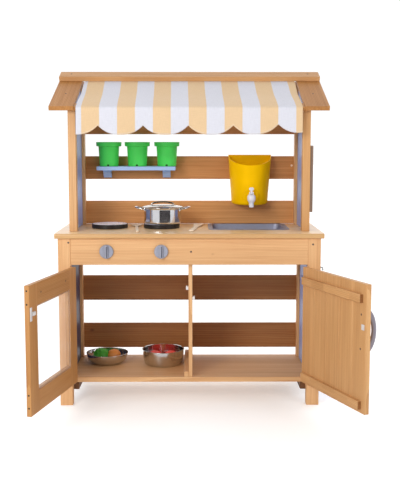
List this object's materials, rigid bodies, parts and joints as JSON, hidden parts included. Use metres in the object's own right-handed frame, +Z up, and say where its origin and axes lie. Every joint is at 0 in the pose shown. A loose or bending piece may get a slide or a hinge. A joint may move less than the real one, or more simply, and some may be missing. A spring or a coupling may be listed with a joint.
{
  "type": "mud kitchen",
  "caption": "Wooden outdoor play kitchen: cabinet with hinged doors, worktop with hobs and lift-out sink, slatted back, pitched roof with striped canopy, and water tank with tap.",
  "frame": {"origin": "middle of the kitchen's box at floor level, with both doors open as in the picture", "axes": "+Z up, +X to the right seen from the front, +Y from the front to the back"},
  "size_m": [1.1141, 0.798, 1.2229],
  "materials": {
    "pine": "stained, satin",
    "roof_pine": "stained, satin",
    "beech": "sanded",
    "blue_paint": "satin grey-blue paint",
    "steel": "polished",
    "hinge_steel": "plated",
    "hob": "satin",
    "knob": "satin",
    "handle": "satin",
    "yellow_plastic": "glossy",
    "white_plastic": "glossy",
    "green_plastic": "glossy",
    "clear_pane": "clear",
    "canvas": "woven cloth with plain stripes"
  },
  "bodies": {
    "frame": {"front_leg_left": "pine", "front_leg_right": "pine", "rear_leg_left": "pine", "rear_leg_right": "pine", "lower_side_panel_left": "blue_paint", "lower_side_panel_right": "blue_paint", "shelf_rail_left": "pine", "shelf_rail_right": "pine", "bottom_shelf": "pine", "divider": "pine", "divider_cleat": "pine", "apron": "pine", "cabinet_slat_lower": "pine", "cabinet_slat_upper": "pine", "back_slat_bottom": "pine", "back_slat_middle": "pine", "back_slat_top": "pine", "worktop": "pine", "front_upright_left": "pine", "front_upright_right": "pine", "rear_upright_left": "pine", "rear_upright_right": "pine", "upper_side_panel_left": "blue_paint", "upper_side_panel_right": "blue_paint", "side_chalkboard": "pine", "roof_board_left": "roof_pine", "roof_board_right": "roof_pine", "ridge_board": "roof_pine", "roof_front_rail": "pine", "canopy": "canvas", "pot_shelf": "blue_paint", "hob_left": "hob", "hob_right": "hob", "left_hinge_upper_frame_leaf": "hinge_steel", "left_hinge_lower_frame_leaf": "hinge_steel", "right_hinge_upper_frame_leaf": "hinge_steel", "right_hinge_lower_frame_leaf": "hinge_steel"},
    "left_door": {"left_door_frame": "pine", "left_door_pane": "clear_pane", "left_hinge_upper_door_leaf": "hinge_steel", "left_hinge_lower_door_leaf": "hinge_steel"},
    "right_door": {"right_door_panel": "pine", "right_door_handle": "handle", "right_hinge_upper_door_leaf": "hinge_steel", "right_hinge_lower_door_leaf": "hinge_steel"},
    "knob_left": {"knob_left": "knob"},
    "knob_right": {"knob_right": "knob"},
    "water_tank": {"water_tank": "yellow_plastic", "tap_body": "white_plastic"},
    "tap_lever": {"tap_lever": "white_plastic"},
    "sink_basin": {"sink_basin": "steel"},
    "cooking_pot": {"cooking_pot": "steel"},
    "pot_lid": {"pot_lid": "steel"},
    "bowl_left": {"bowl_left": "steel"},
    "bowl_right": {"bowl_right": "steel"},
    "herb_pot_left": {"herb_pot_left": "green_plastic"},
    "herb_pot_middle": {"herb_pot_middle": "green_plastic"},
    "herb_pot_right": {"herb_pot_right": "green_plastic"},
    "spoon": {"spoon": "beech"},
    "spatula": {"spatula": "beech"}
  },
  "joints": [
    {"name": "left_door_hinge", "type": "hinge", "parent": "frame", "child": "left_door", "pos_m": [-0.46751, 0.01704, 0.3], "axis": [0, 0, 1], "range_deg": [-67.2, 102.8]},
    {"name": "right_door_hinge", "type": "hinge", "parent": "frame", "child": "right_door", "pos_m": [0.38019, 0.01704, 0.3], "axis": [0, 0, 1], "range_deg": [-111.3, 58.7]},
    {"name": "knob_left_turn", "type": "hinge", "parent": "frame", "child": "knob_left", "pos_m": [-0.33966, 0.0202, 0.565], "axis": [0, -1, 0], "continuous": true},
    {"name": "knob_right_turn", "type": "hinge", "parent": "frame", "child": "knob_right", "pos_m": [-0.14466, 0.0202, 0.565], "axis": [0, -1, 0], "continuous": true},
    {"name": "water_tank_lift", "type": "slide", "parent": "frame", "child": "water_tank", "axis": [0, 0, 1], "range_m": [0, 0.06]},
    {"name": "tap_lever_tilt", "type": "hinge", "parent": "water_tank", "child": "tap_lever", "pos_m": [0.19134, 0.25354, 0.76], "axis": [1, 0, 0], "range_deg": [0, 45], "stiffness_Nm_per_rad": 0.05, "springref_deg": -5.73},
    {"name": "sink_basin_lift", "type": "slide", "parent": "frame", "child": "sink_basin", "axis": [0, 0, 1], "range_m": [0, 0.068]},
    {"name": "cooking_pot_lift", "type": "slide", "parent": "frame", "child": "cooking_pot", "axis": [0, 0, 1], "range_m": [0, 0.06]},
    {"name": "pot_lid_lift", "type": "slide", "parent": "cooking_pot", "child": "pot_lid", "axis": [0, 0, 1], "range_m": [0, 0.06]},
    {"name": "bowl_left_lift", "type": "slide", "parent": "frame", "child": "bowl_left", "axis": [0, 0, 1], "range_m": [0, 0.12]},
    {"name": "bowl_right_lift", "type": "slide", "parent": "frame", "child": "bowl_right", "axis": [0, 0, 1], "range_m": [0, 0.12]},
    {"name": "herb_pot_left_lift", "type": "slide", "parent": "frame", "child": "herb_pot_left", "axis": [0, 0, 1], "range_m": [0, 0.12]},
    {"name": "herb_pot_middle_lift", "type": "slide", "parent": "frame", "child": "herb_pot_middle", "axis": [0, 0, 1], "range_m": [0, 0.12]},
    {"name": "herb_pot_right_lift", "type": "slide", "parent": "frame", "child": "herb_pot_right", "axis": [0, 0, 1], "range_m": [0, 0.12]},
    {"name": "spoon_lift", "type": "slide", "parent": "frame", "child": "spoon", "axis": [0, 0, 1], "range_m": [0, 0.05]},
    {"name": "spatula_lift", "type": "slide", "parent": "frame", "child": "spatula", "axis": [0, 0, 1], "range_m": [0, 0.15]}
  ]
}
